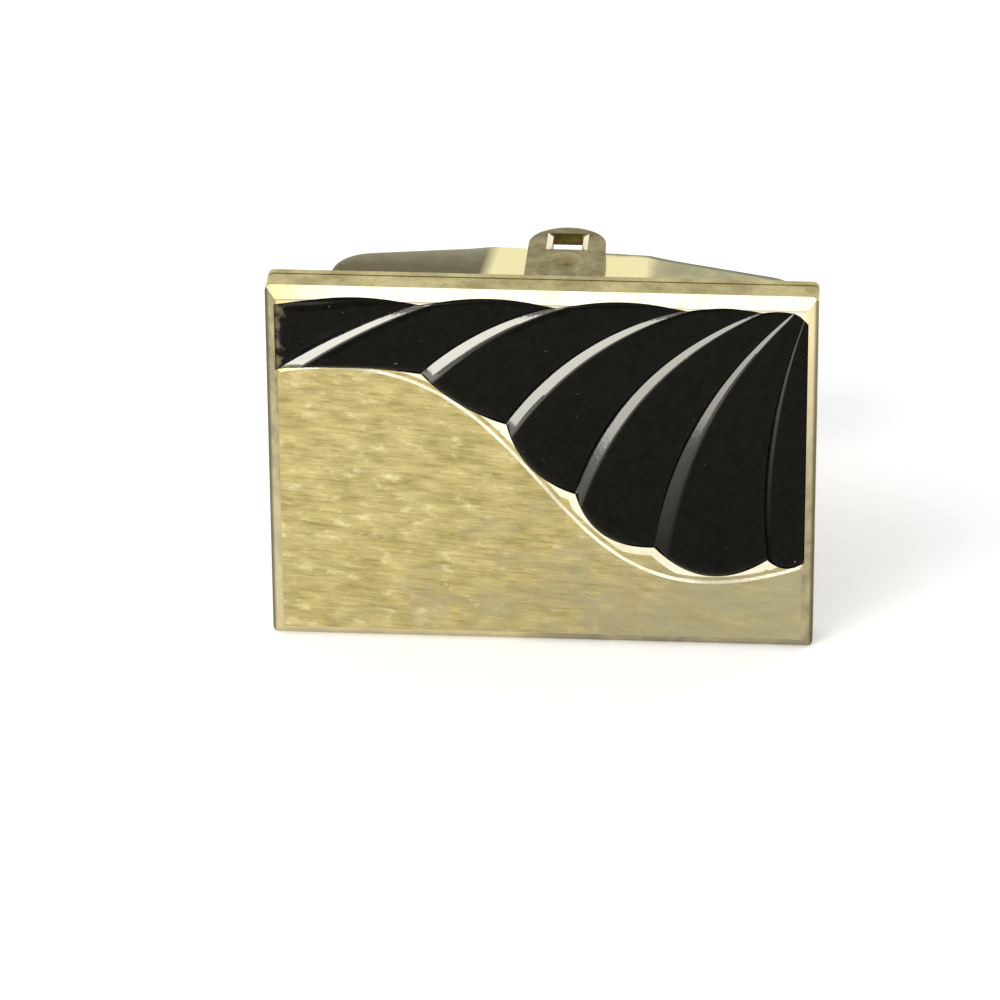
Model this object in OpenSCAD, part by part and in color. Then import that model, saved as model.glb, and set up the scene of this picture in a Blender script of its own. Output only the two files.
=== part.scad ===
// Cufflink: a bevelled rectangular face with a black fluted inlay, a forked post and a swivelling toggle bar.
// Frame: X to the right of the face, Y back along the post, Z up. The origin is where the post leaves the
// back of the plate, at its middle. The face looks toward -Y.

/* [Face plate] */
// Width of the face
face_w = 20; // [16:0.5:24]
// Height of the face
face_h = 14.2; // [12:0.1:18]
// Thickness of the struck front plate
face_t = 1.35; // [1.2:0.05:2]
// Width of the bevel round the front edge
bevel = 0.4; // [0.2:0.05:0.5]
// Radius of the plate's four corners
corner_r = 0.25; // [0.1:0.05:0.4]
// Drop of the cut lip that runs between the brushed field and the flutes
lip_drop = 0.12; // [0.06:0.02:0.2]

/* [Fluted inlay] */
// Plate left standing beside the inlay, left and right
side_land = 0.35; // [0.3:0.05:0.8]
// Plate left standing above the inlay
top_land = 0.5; // [0.45:0.05:1]
// Depth of the inlay's pocket below the front of the plate
pocket_depth = 0.7; // [0.5:0.05:0.9]
// Height of the flutes' crests above the front of the plate
flute_proud = 0.2; // [0.05:0.05:0.4]
// Depth of the grooves between the flutes below the front of the plate
groove_depth = 0.15; // [0.05:0.05:0.3]
// Length over which a flute's end rolls down
end_roll = 0.5; // [0.2:0.1:1]
// Thickness of the cement bed under the inlay
cement_t = 0.05; // [0.02:0.01:0.1]

/* [Backing plate] */
// Thickness of the backing plate
backing_t = 0.35; // [0.25:0.05:0.8]
// Thickness of the solder film between the two plates
seam_t = 0.05; // [0.02:0.01:0.1]
// How far the solder film stays back from the plates' edges
seam_inset = 0.15; // [0.05:0.05:0.4]

/* [Post] */
// Diameter of the round foot under the post
foot_d = 6; // [5:0.1:8]
// Thickness of the foot
foot_t = 0.5; // [0.3:0.1:1]
// Size of the solder fillet round the foot
fillet = 0.35; // [0.1:0.05:0.6]
// Width of the strap that the fork is bent from
strap_w = 3; // [2.6:0.1:4]
// Thickness of the strap
strap_t = 0.5; // [0.4:0.05:0.7]
// Outer radius of the strap's two bends
bend_r = 0.9; // [0.75:0.05:1.2]
// Distance from the back of the plate to the pivot pin
post_reach = 13.3; // [12:0.1:18]
// Length of the legs past the pin, to their round ends
leg_past_pin = 2.85; // [2.7:0.05:4]
// Width of the pierced window in each leg
window_w = 1.6; // [1:0.1:1.8]
// Length of the window along the leg
window_len = 1.5; // [1:0.1:1.5]
// Wall left between the window and the leg's round end
window_rim = 0.55; // [0.4:0.05:0.6]

/* [Pivot] */
// Diameter of the pivot pin
pin_d = 0.9; // [0.7:0.05:1]
// Diameter of the pin's two riveted heads
head_d = 1.2; // [1.1:0.05:1.4]
// Height of each head
head_h = 0.18; // [0.1:0.02:0.3]
// Gap all round between the pin and the bush, for a running fit
pin_clear = 0.04; // [0.02:0.01:0.08]
// Wall of the bush in the middle of the bar
bush_wall = 0.35; // [0.25:0.05:0.5]
// Gap between the bar's flats and each leg
leg_clear = 0.05; // [0.03:0.01:0.1]

/* [Toggle bar] */
// Length of the bar
bar_len = 18.4; // [14:0.2:20]
// Width of the bar at its middle
bar_w = 4.2; // [3.8:0.1:4.6]
// Thickness of the bar across its two flats
hub_t = 2.2; // [2:0.1:2.6]
// Length of the two flats
flat_len = 6; // [4.5:0.5:7]
// Thickness of the bar at its tips
tip_t = 1.5; // [1.2:0.1:1.8]
// Radius of the rounded tips, seen from above
tip_r = 1.5; // [1.2:0.1:1.7]
// Depth to which the bar's long edges are rounded off, measured across a corner
edge_trim = 0.12; // [0.05:0.01:0.2]
// Wall of the two pressed half shells
shell_wall = 0.3; // [0.25:0.05:0.35]
// Turn of the bar away from square to the post, as it stands
bar_turn = 5; // [-15:1:15]

/* [Hidden] */
$fn = 64;

// Overrun of every cut
cut = 0.5;

// Places along Y
backing_front = -backing_t;
face_back = backing_front - seam_t;
face_front = face_back - face_t;
pocket_floor = face_front + pocket_depth;
groove_y = face_front + groove_depth;
leg_end = post_reach + leg_past_pin;

// Fork and pin
fork_gap = hub_t + 2 * leg_clear;
fork_t = fork_gap + 2 * strap_t;
end_r = strap_w / 2;
bush_bore = pin_d + 2 * pin_clear;
bush_d = bush_bore + 2 * bush_wall;

// Flutes: each border between two flutes runs from a foot to a top. Both are shares of half the inlay's
// field, seen from the front, first along X and then along Z
field_x = face_w / 2 - side_land;
field_z = face_h / 2 - top_land;
foot_shares = [
    [-1, 0.58], [-0.98, 0.59], [-0.45, 0.575], [-0.13, 0.28],
    [0.13, -0.14], [0.43, -0.46], [0.86, -0.52], [1, -0.53]
];
top_shares = [
    [-1, 0.98], [-0.45, 1], [0.06, 1], [0.55, 1],
    [0.83, 1], [0.95, 1], [0.985, 0.955], [1, 0.93]
];
// Bow of each border and of each flute's lower end, as a share of its own straight length
bow_shares = [0, 0.08, 0.13, 0.19, 0.23, 0.18, 0.11, 0];
swell_shares = [0, -0.03, 0.07, 0.14, 0.2, 0.22, 0.22];
// Rise of each flute's upper end, as a share of its width there
rise_share = 0.05;
// Power that moves each flute's crest to its upper left side, which then falls steeply to the groove
crest_lean = 0.6;
// Lip: the four points of its curve, as shares of half the inlay's field
lip_shares = [[-1.01, 0.565], [0.12, 0.905], [-0.09, -1.2], [1.02, -0.545]];
// Steps across a flute, along it, along the lip and round the solder fillet
flute_steps = 6;
length_steps = 12;
lip_steps = 24;
fillet_steps = 6;
flutes = len(swell_shares);

// Toggle bar
bar_half = bar_len / 2;
tip_x = bar_half - tip_r;
flat_half = flat_len / 2;
hub_round = norm([bar_w, hub_t]) / 2 - edge_trim;
arm_round = norm([2 * tip_r, tip_t]) / 2 - edge_trim;

// Metals and stone
gilt = [0.80, 0.72, 0.46];
dull_gilt = [0.60, 0.56, 0.38];
black = [0.10, 0.09, 0.08];
solder = [0.62, 0.62, 0.58];
putty = [0.45, 0.42, 0.36];

// Extrudes a drawing in X and Z forward from y_back by t
module slab(y_back, t) {
    translate([0, y_back, 0])
        rotate([90, 0, 0])
            linear_extrude(t) children();
}

module plate_outline(inset = 0) {
    w = face_w - 2 * inset;
    h = face_h - 2 * inset;
    r = corner_r;
    square([w - 2 * r, h], center = true);
    square([w, h - 2 * r], center = true);
    for (sx = [-1, 1], sz = [-1, 1])
        translate([sx * (w / 2 - r), sz * (h / 2 - r)]) circle(r);
}

// Section of the plate across one side: straight at the back, bevelled to the front
module bevel_section(side) {
    polygon([
        [-side / 2, face_back], [side / 2, face_back],
        [side / 2, face_front + bevel], [side / 2 - bevel, face_front],
        [bevel - side / 2, face_front], [-side / 2, face_front + bevel]
    ]);
}

function mix(a, b, s) = a + (b - a) * s;
function turned(v) = [-v[1], v[0]];
function field_point(share) = [share[0] * field_x, share[1] * field_z];
function foot(i) = field_point(foot_shares[i]);
function top(i) = field_point(top_shares[i]);

// Border i between two flutes, from its foot (t = 0) to its top (t = 1)
function border(i, t) =
    let (bend = mix(foot(i), top(i), 1 / 2) + bow_shares[i] * turned(top(i) - foot(i)))
    mix(mix(foot(i), bend, t), mix(bend, top(i), t), t);

// Point of flute i, s across it and t along it, with its bowed ends
function flute_point(i, s, t) =
    let (
        arch = 4 * s * (1 - s),
        swell = -swell_shares[i] * turned(foot(i + 1) - foot(i)),
        rise = [0, rise_share * norm(top(i + 1) - top(i))]
    )
    mix(border(i, t), border(i + 1, t), s) + arch * (pow(1 - t, 3) * swell + pow(t, 3) * rise);

// Share of the full height at t along flute i, where its ends roll down
function rolled(i, t) =
    let (roll = min(1 / 2, end_roll / norm(top(i) - foot(i))), near = min(t, 1 - t) / roll)
    near >= 1 ? 1 : sqrt(1 - pow(1 - near, 2));

function eased(k, steps) = (1 - cos(180 * k / steps)) / 2;

// Rows of points along the inlay, each from its left side to its right side
flute_rows = [
    for (j = [0:length_steps])
        let (t = eased(j, length_steps))
        [
            for (i = [0:flutes - 1], k = [0:flute_steps])
                if (k < flute_steps || i == flutes - 1)
                    let (
                        s = eased(k, flute_steps),
                        p = flute_point(i, s, t),
                        round_top = sin(180 * pow(s, crest_lean)) * rolled(i, t)
                    )
                    [p[0], groove_y - (flute_proud + groove_depth) * round_top, p[1]]
        ]
];
row_len = len(flute_rows[0]);
last_row = len(flute_rows) - 1;

// Outline of the inlay, anticlockwise from its lower left corner
rim = concat(
    [for (i = [0:row_len - 1]) [0, i]],
    [for (j = [1:last_row]) [j, row_len - 1]],
    [for (i = [row_len - 2:-1:0]) [last_row, i]],
    [for (j = [last_row - 1:-1:1]) [j, 0]]
);
rim_points = [for (m = rim) [flute_rows[m[0]][m[1]][0], flute_rows[m[0]][m[1]][2]]];

lip_points = [for (k = [0:lip_steps]) lip_point(k / lip_steps)];
function lip_point(t) =
    let (p = [for (share = lip_shares) field_point(share)])
    pow(1 - t, 3) * p[0] + 3 * t * pow(1 - t, 2) * p[1] + 3 * pow(t, 2) * (1 - t) * p[2] + pow(t, 3) * p[3];

module face_plate() {
    color(gilt)
        difference() {
            intersection() {
                slab(face_back, face_t) plate_outline();
                linear_extrude(face_h + 2 * cut, center = true) bevel_section(face_w);
                rotate([0, 90, 0])
                    linear_extrude(face_w + 2 * cut, center = true) bevel_section(face_h);
            }
            slab(face_front + lip_drop, lip_drop + cut)
                polygon(concat(lip_points, [top(flutes), top(flutes - 2), top(0)]));
            slab(pocket_floor, pocket_depth + cut) polygon(rim_points);
        }
}

// One carved piece: rolled flutes in front, upright edges and a flat back on the cement
module fluted_inlay() {
    back = pocket_floor - cement_t;
    count = len(rim);
    top_count = row_len * (last_row + 1);
    top_points = [for (row = flute_rows, p = row) p];
    back_points = [for (p = rim_points) [p[0], back, p[1]]];
    front_faces = [
        for (j = [0:last_row - 1], i = [0:row_len - 2], half = [0, 1])
            let (a = j * row_len + i, b = a + 1, c = b + row_len, d = a + row_len)
            half == 0 ? [a, c, b] : [a, d, c]
    ];
    edge_faces = [
        for (k = [0:count - 1], half = [0, 1])
            let (
                n = (k + 1) % count,
                a = rim[k][0] * row_len + rim[k][1],
                b = rim[n][0] * row_len + rim[n][1]
            )
            half == 0 ? [a, b, top_count + n] : [a, top_count + n, top_count + k]
    ];
    right = row_len - 1;
    high_right = right + last_row;
    high_left = high_right + right;
    back_faces = [
        for (k = [1:right - 2]) [k, k + 1, high_left - k - 1],
        for (k = [1:right - 2]) [k, high_left - k - 1, high_left - k],
        for (k = [high_left - 1:count - 1]) [1, k, (k + 1) % count],
        for (k = [right - 1:high_right - 1]) [high_right + 1, k, k + 1]
    ];
    color(black)
        polyhedron(
            concat(top_points, back_points),
            concat(front_faces, edge_faces, [for (f = back_faces) [for (k = f) top_count + k]])
        );
}

module inlay_cement() {
    color(putty)
        slab(pocket_floor, cement_t) polygon(rim_points);
}

module seam_solder() {
    color(solder)
        slab(backing_front, seam_t) plate_outline(seam_inset);
}

module backing_plate() {
    color(dull_gilt)
        slab(0, backing_t) plate_outline();
}

module post_foot() {
    color(dull_gilt)
        rotate([-90, 0, 0]) cylinder(d = foot_d, h = foot_t);
}

// Hollow-faced ring of solder in the corner between the foot and the plate
module foot_solder() {
    size = min(fillet, foot_t);
    color(solder)
        rotate([-90, 0, 0])
            rotate_extrude()
                translate([foot_d / 2, 0])
                    polygon(concat([[0, 0]], [
                        for (k = [0:fillet_steps])
                            let (a = 90 * k / fillet_steps)
                            [size * (1 - sin(a)), size * (1 - cos(a))]
                    ]));
}

// Side view of the bent strap's outside or inside, drawn along Y and Z
module bend_section(start, height, r) {
    straight = leg_end + cut - start - r;
    translate([start + r, -height / 2]) square([straight, height]);
    translate([start, r - height / 2]) square([straight, height - 2 * r]);
    for (side = [-1, 1])
        translate([start + r, side * (height / 2 - r)]) circle(r);
}

module fork_post() {
    window_end = leg_end - window_rim;
    color(dull_gilt)
        difference() {
            intersection() {
                rotate([90, 0, 90])
                    linear_extrude(strap_w, center = true)
                        difference() {
                            bend_section(foot_t, fork_t, bend_r);
                            bend_section(foot_t + strap_t, fork_gap, bend_r - strap_t);
                        }
                linear_extrude(fork_t + 2 * cut, center = true) {
                    translate([-strap_w / 2, 0]) square([strap_w, leg_end - end_r]);
                    translate([0, leg_end - end_r]) circle(end_r);
                }
            }
            translate([0, post_reach, 0]) cylinder(d = pin_d, h = fork_t + 2 * cut, center = true);
            translate([-window_w / 2, window_end - window_len, -fork_t / 2 - cut])
                cube([window_w, window_len, fork_t + 2 * cut]);
        }
}

module pivot_pin() {
    dome_r = (pow(head_d / 2, 2) + pow(head_h, 2)) / (2 * head_h);
    color(dull_gilt)
        translate([0, post_reach, 0]) {
            cylinder(d = pin_d, h = fork_t, center = true);
            for (side = [0, 1])
                mirror([0, 0, side])
                    intersection() {
                        translate([0, 0, fork_t / 2]) cylinder(d = head_d, h = head_h);
                        translate([0, 0, fork_t / 2 + head_h - dome_r]) sphere(dome_r);
                    }
        }
}

// Places what belongs to the bar at the pivot, with the bar's turn
module at_pivot() {
    translate([0, post_reach, 0])
        rotate([0, 0, -bar_turn]) children();
}

// Outline along X with a straight middle, tapered arms and round tips
module spindle(half_w, r) {
    arm = [tip_x - flat_half, half_w];
    lean = atan(arm[1] / arm[0]) - asin(r / norm(arm));
    touch = [tip_x + r * sin(lean), r * cos(lean)];
    polygon([
        [-touch[0], -touch[1]], [-flat_half, -half_w], [flat_half, -half_w], [touch[0], -touch[1]],
        touch, [flat_half, half_w], [-flat_half, half_w], [-touch[0], touch[1]]
    ]);
    for (side = [-1, 1])
        translate([side * tip_x, 0]) circle(r);
}

// The bar seen from the front, drawn along X and Z: two flats, and arms that grow thinner to the tips
module bar_side(inset) {
    far = bar_half + cut;
    high = hub_t / 2 - inset;
    low = high - (hub_t - tip_t) / 2 * (far - flat_half) / (bar_half - flat_half);
    polygon([
        [-far, -low], [-flat_half, -high], [flat_half, -high], [far, -low],
        [far, low], [flat_half, high], [-flat_half, high], [-far, low]
    ]);
}

// Solid form of the bar along X with square edges, or its hollow when inset by the wall
module bar_form(inset = 0) {
    intersection() {
        linear_extrude(hub_t + 2 * cut, center = true) spindle(bar_w / 2 - inset, tip_r - inset);
        rotate([90, 0, 0]) linear_extrude(bar_w + 2 * cut, center = true) bar_side(inset);
    }
}

// Round that breaks the bar's long edges: a cylinder over the flats and a cone over each arm
module edge_round() {
    far = bar_half + cut;
    low = hub_round - (hub_round - arm_round) * (far - flat_half) / (tip_x - flat_half);
    rotate([0, 90, 0])
        rotate_extrude()
            polygon([
                [0, -far], [low, -far], [hub_round, -flat_half],
                [hub_round, flat_half], [low, far], [0, far]
            ]);
}

// Upper or lower pressed half of the bar, open to the other half and bored for the bush
module half_shell(up) {
    color(dull_gilt)
        at_pivot()
            mirror([0, 0, up ? 0 : 1])
                difference() {
                    intersection() {
                        bar_form();
                        edge_round();
                        translate([0, 0, hub_t])
                            cube([bar_len + 2 * cut, bar_w + 2 * cut, 2 * hub_t], center = true);
                    }
                    bar_form(shell_wall);
                    cylinder(d = bush_d, h = hub_t + 2 * cut, center = true);
                }
}

module hub_bush() {
    color(gilt)
        at_pivot()
            difference() {
                cylinder(d = bush_d, h = hub_t, center = true);
                cylinder(d = bush_bore, h = hub_t + 2 * cut, center = true);
            }
}

module toggle_upper_shell() {
    half_shell(true);
}

module toggle_lower_shell() {
    half_shell(false);
}

face_plate();
fluted_inlay();
inlay_cement();
seam_solder();
backing_plate();
post_foot();
foot_solder();
fork_post();
pivot_pin();
hub_bush();
toggle_upper_shell();
toggle_lower_shell();
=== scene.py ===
"""A swivel toggle cufflink on a pale floor: gilt face, carved black inlay, forked post and torpedo bar.

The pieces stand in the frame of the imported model: X to the right of the face, Y back along the post, Z up.
Sizes are in millimetres, and each finished mesh is brought to metres.
"""
import math

import bmesh
import bpy
from mathutils import Matrix, Vector
from mathutils.geometry import delaunay_2d_cdt


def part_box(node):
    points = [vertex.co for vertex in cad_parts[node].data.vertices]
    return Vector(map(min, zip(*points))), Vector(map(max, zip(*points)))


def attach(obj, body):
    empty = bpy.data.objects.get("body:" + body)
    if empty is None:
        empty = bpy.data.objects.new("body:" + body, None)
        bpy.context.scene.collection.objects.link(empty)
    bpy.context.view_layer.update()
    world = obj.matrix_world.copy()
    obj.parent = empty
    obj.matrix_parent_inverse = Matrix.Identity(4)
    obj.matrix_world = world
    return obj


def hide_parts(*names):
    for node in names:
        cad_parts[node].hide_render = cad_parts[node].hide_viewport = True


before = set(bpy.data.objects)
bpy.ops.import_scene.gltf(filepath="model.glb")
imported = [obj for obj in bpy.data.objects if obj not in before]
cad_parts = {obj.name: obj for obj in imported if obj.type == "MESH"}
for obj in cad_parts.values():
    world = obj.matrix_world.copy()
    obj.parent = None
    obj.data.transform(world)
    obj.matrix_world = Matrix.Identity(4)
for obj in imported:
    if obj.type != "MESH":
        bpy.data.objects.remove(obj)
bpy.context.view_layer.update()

# One millimetre in metres, and the distance in millimetres below which points are joined
MM = 0.001
WELD = 1e-4


def box_mm(node):
    """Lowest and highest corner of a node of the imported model, in millimetres."""
    low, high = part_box(node)
    return low / MM, high / MM


def eased(k, steps):
    """Share of the way at step k, with short steps at both ends."""
    return (1 - math.cos(math.pi * k / steps)) / 2


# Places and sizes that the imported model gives
plate_low, plate_high = box_mm("face_plate")
inlay_low, inlay_high = box_mm("fluted_inlay")
_, cement_high = box_mm("inlay_cement")
backing_low, backing_high = box_mm("backing_plate")
foot_low, foot_high = box_mm("post_foot")
fork_low, fork_high = box_mm("fork_post")
pin_low, pin_high = box_mm("pivot_pin")
bush_low, bush_high = box_mm("hub_bush")
FACE_W = plate_high.x - plate_low.x
FACE_H = plate_high.z - plate_low.z
FACE_FRONT = plate_low.y
FACE_BACK = plate_high.y
POCKET_FLOOR = cement_high.y
INLAY_BACK = inlay_high.y
CREST_Y = inlay_low.y
POST_REACH = (bush_low.y + bush_high.y) / 2
HUB_T = bush_high.z - bush_low.z
BUSH_D = bush_high.x - bush_low.x
HEAD_D = pin_high.x - pin_low.x
FOOT_D = foot_high.x - foot_low.x
FORK_T = fork_high.z - fork_low.z
STRAP_W = fork_high.x - fork_low.x

# Face: bevel, round corners, broken edges, and the lands from the plate's edges to the field of the inlay
BEVEL = 0.4
CORNER_R = 0.25
CORNER_STEPS = 8
EDGE = 0.04
SIDE_LAND = 0.35
TOP_LAND = 0.5
GROOVE_DEPTH = 0.15

# The cut lip, and the bright wedges that begin WEDGE_FROM past it and reach RING_W round the flutes' lower
# ends. Above BRIGHT_ABOVE the whole land round the inlay is bright. Past the lip the land lies deeper, out to
# PAST_LEFT and PAST_RIGHT beyond the sides of the inlay's field and up to SHORT_OF_TOP below its top
LIP_STEPS = 96
LIP_DROP = 0.06
LIP_W = 0.1
PAST_LEFT = 0.1
PAST_RIGHT = 0.2
SHORT_OF_TOP = 0.05
WEDGE_FROM = 0.25
RING_W = 0.3
BRIGHT_ABOVE = 4.4

# Flutes: their borders run from feet to tops, in shares of half the inlay's field, across and up. Borders
# bow, lower ends swell and upper ends rise, in shares of their lengths. Each end rolls down over END_ROLL
FIELD_X = FACE_W / 2 - SIDE_LAND
FIELD_Z = FACE_H / 2 - TOP_LAND
FOOT_SHARES = [(-1, 0.58), (-0.98, 0.59), (-0.45, 0.575), (-0.13, 0.28), (0.13, -0.14), (0.43, -0.46),
               (0.86, -0.52), (1, -0.53)]
TOP_SHARES = [(-1, 0.98), (-0.45, 1), (0.06, 1), (0.55, 1), (0.83, 1), (0.95, 1), (0.985, 0.955), (1, 0.93)]
BOW_SHARES = [0, 0.08, 0.13, 0.19, 0.23, 0.18, 0.11, 0]
SWELL_SHARES = [0, -0.03, 0.07, 0.14, 0.2, 0.22, 0.22]
RISE_SHARE = 0.05
LIP_SHARES = [(-1.01, 0.565), (0.12, 0.905), (-0.09, -1.2), (1.02, -0.545)]
FLUTES = len(SWELL_SHARES)
STEPS_ACROSS = 28
STEPS_ALONG = 72
END_ROLL = 0.5

# Section of a flute: how much of its width the steep flank takes, how high it rises, and its slope; where
# the crest lies; and a place on the long side with its height
FLANK_SHARE = eased(6, STEPS_ACROSS)
FLANK_HEIGHT = 0.7
FLANK_TILT = math.radians(37)
CREST_SHARE = 0.4
FALL_SHARE = 0.8
FALL_HEIGHT = 0.66

# Toggle bar: flat in the middle, tapered and slightly crowned toward its round tips, its edges softened; its
# shells have an even wall with a small inner radius. The steps divide half a side: its flat, arm and tip
BAR_LEN = 18.4
BAR_W = 4.2
FLAT_LEN = 6
TIP_T = 1.5
TIP_R = 1.5
SOFT_R = 0.32
CROWN = 0.04
SHELL_WALL = 0.3
INNER_R = 0.08
INNER_GROOVE = 0.001
BAR_TURN = math.radians(5)
FLAT_HALF = FLAT_LEN / 2
TIP_X = BAR_LEN / 2 - TIP_R
ARM_SLOPE = (BAR_W / 2 - TIP_R) / (TIP_X - FLAT_HALF)
FLAT_STEPS = 8
ARM_STEPS = 20
TIP_STEPS = 24

# Fork and pin
STRAP_T = 0.5
BEND_R = 0.9
WINDOW_W = 1.6
WINDOW_LEN = 1.5
WINDOW_RIM = 0.55
WINDOW_LEAN = 0.22
STRAP_EDGE = 0.07
PIN_D = 0.9


# Colours, nodes and materials

def linear(code):
    """Four linear channels of an sRGB hex code."""
    channels = [int(code[k:k + 2], 16) / 255 for k in (1, 3, 5)]
    return [c / 12.92 if c <= 0.04045 else ((c + 0.055) / 1.055) ** 2.4 for c in channels] + [1]


def in_use(sockets, name=None):
    """The first socket in use, or the first of that name."""
    return next(s for s in sockets if s.enabled and name in (None, s.name))


def add(tree, kind, sockets=None, **settings):
    """Adds a node with its settings, and links or fills its inputs, which are given by name or by number.
    A hex code fills an input with its colour."""
    node = tree.nodes.new(kind)
    for name, value in settings.items():
        setattr(node, name, value)
    for name, value in (sockets or {}).items():
        socket = node.inputs[name] if isinstance(name, int) else in_use(node.inputs, name)
        if isinstance(value, str) and value.startswith("#"):
            value = linear(value)
        elif isinstance(value, bpy.types.Node):
            value = in_use(value.outputs)
        if isinstance(value, bpy.types.NodeSocket):
            tree.links.new(value, socket)
        else:
            socket.default_value = value
    return node


def new_material(name):
    """An empty node material, its tree and the piece's own coordinates in millimetres."""
    material = bpy.data.materials.new(name)
    material.use_nodes = True
    tree = material.node_tree
    tree.nodes.clear()
    own = add(tree, "ShaderNodeTexCoord").outputs["Object"]
    place = add(tree, "ShaderNodeMapping", {"Vector": own, "Scale": (MM, MM, MM)}, vector_type="TEXTURE")
    return material, tree, place


def finished(material, tree, tone, gloss, height, depth, metal=1.0, more=()):
    """Completes a material with its colour, its roughness, a relief of a depth in millimetres, and more."""
    relief = add(tree, "ShaderNodeBump", {"Height": height, "Distance": depth * MM})
    shader = add(tree, "ShaderNodeBsdfPrincipled", {"Base Color": tone, "Metallic": metal, "Roughness": gloss,
                                                    "Normal": relief, **dict(more)})
    add(tree, "ShaderNodeOutputMaterial", {"Surface": shader})
    return material


def satin_brushed_gilt():
    """Gilt brass drawn across a fine belt: nearly level streaks about a tenth of a millimetre apart and a
    soft low gloss, with pale rubbed flecks, and painted light: a patchy lower right painted greyer."""
    material, tree, place = new_material("satin_brushed_gilt")
    grains = []
    for size, detail, roughness in [((0.9, 1, 0.08), 4.0, 0.7), ((1.1, 1, 0.4), 4.0, 0.6),
                                    ((0.7, 1, 0.35), 3.0, 0.6)]:
        grain = add(tree, "ShaderNodeMapping", {"Vector": place, "Scale": size,
                                                "Rotation": (0, math.radians(5), 0)}, vector_type="TEXTURE")
        grains.append(add(tree, "ShaderNodeTexNoise", {"Vector": grain, "Scale": 1.0, "Detail": detail,
                                                       "Roughness": roughness}))
    fine, broad, flecks = grains
    streaks = add(tree, "ShaderNodeMix", {"Factor": 0.5, "A": fine, "B": broad}, data_type="FLOAT")
    streaks = add(tree, "ShaderNodeMapRange", {"Value": streaks, "From Min": 0.36, "From Max": 0.64})
    tone = add(tree, "ShaderNodeMix", {"Factor": streaks, "A": "#a1925b", "B": "#d6c588"}, data_type="RGBA")
    at = add(tree, "ShaderNodeSeparateXYZ", {"Vector": place}).outputs
    flecks = add(tree, "ShaderNodeMath", {0: at["X"], 1: -0.006, 2: flecks}, operation="MULTIPLY_ADD")
    flecks = add(tree, "ShaderNodeMapRange", {"Value": flecks, "From Min": 0.6, "From Max": 0.8,
                                              "To Max": 0.75})
    tone = add(tree, "ShaderNodeMix", {"Factor": flecks, "A": tone, "B": "#f0e5b2"}, data_type="RGBA")
    # Painted light: in patches toward the lower right the colour is painted greyer
    patches = add(tree, "ShaderNodeTexNoise", {"Vector": place, "Scale": 0.9, "Detail": 4.0,
                                               "Roughness": 0.65})
    dull_painted_light = add(tree, "ShaderNodeMath", {0: patches, 1: 40.0, 2: at["X"]}, operation="MULTIPLY_ADD")
    dull_painted_light = add(tree, "ShaderNodeMath", {0: at["Z"], 1: -1.5, 2: dull_painted_light}, operation="MULTIPLY_ADD")
    dull_painted_light = add(tree, "ShaderNodeMapRange", {"Value": dull_painted_light, "From Min": 21.0, "From Max": 35.0,
                                              "To Max": 0.8})
    tone = add(tree, "ShaderNodeMix", {"Factor": dull_painted_light, "A": tone, "B": "#a8a182"}, data_type="RGBA")
    gloss = add(tree, "ShaderNodeMapRange", {"Value": streaks, "To Min": 0.5, "To Max": 0.36})
    return finished(material, tree, tone, gloss, streaks, 0.012)


def bright_cut_gilt():
    """Gilt brass cut with a polished graver: a mirror-like facet with faint cutter marks along it, a little
    yellower toward the left corner."""
    material, tree, place = new_material("bright_cut_gilt")
    smears = add(tree, "ShaderNodeTexNoise", {"Vector": place, "Scale": 1.4, "Detail": 3.0})
    tone = add(tree, "ShaderNodeMapRange", {"Value": smears, "From Min": 0.35, "From Max": 0.65})
    tone = add(tree, "ShaderNodeMix", {"Factor": tone, "A": "#fbf4dc", "B": "#efe4c2"}, data_type="RGBA")
    across = add(tree, "ShaderNodeSeparateXYZ", {"Vector": place}).outputs["X"]
    corner = add(tree, "ShaderNodeMapRange", {"Value": across, "From Min": -7.5, "From Max": -9.5})
    tone = add(tree, "ShaderNodeMix", {"Factor": corner, "A": tone, "B": "#e6d89c"}, data_type="RGBA")
    gloss = add(tree, "ShaderNodeMapRange", {"Value": smears, "From Min": 0.3, "From Max": 0.7,
                                             "To Min": 0.14, "To Max": 0.26})
    marks = add(tree, "ShaderNodeMapping", {"Vector": place, "Scale": (2.5, 0.05, 0.07)},
                vector_type="TEXTURE")
    marks = add(tree, "ShaderNodeTexNoise", {"Vector": marks, "Scale": 1.0, "Detail": 2.0})
    return finished(material, tree, tone, gloss, marks, 0.004)


def worn_gilt(name, bright, dull, roughness, grain, stain):
    """Tumbled gilt brass that has been handled: a soft gloss, and brown-green tarnish in small clouds."""
    material, tree, place = new_material(name)
    clouds = add(tree, "ShaderNodeTexNoise", {"Vector": place, "Scale": 0.8, "Detail": 4.0, "Roughness": 0.6})
    clouds = add(tree, "ShaderNodeMapRange", {"Value": clouds, "From Min": 0.36, "From Max": 0.66})
    specks = add(tree, "ShaderNodeTexNoise", {"Vector": place, "Scale": 5.0, "Detail": 2.0})
    specks = add(tree, "ShaderNodeMapRange", {"Value": specks, "From Min": 0.55, "From Max": 0.72,
                                              "To Max": stain})
    tone = add(tree, "ShaderNodeMix", {"Factor": clouds, "A": bright, "B": dull}, data_type="RGBA")
    tone = add(tree, "ShaderNodeMix", {"Factor": specks, "A": tone, "B": "#5d5638"}, data_type="RGBA")
    gloss = add(tree, "ShaderNodeMapRange", {"Value": clouds, "To Min": roughness - 0.06,
                                             "To Max": roughness + 0.1})
    hammered = add(tree, "ShaderNodeTexNoise", {"Vector": place, "Scale": grain, "Detail": 2.0})
    return finished(material, tree, tone, gloss, hammered, 0.01)


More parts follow.
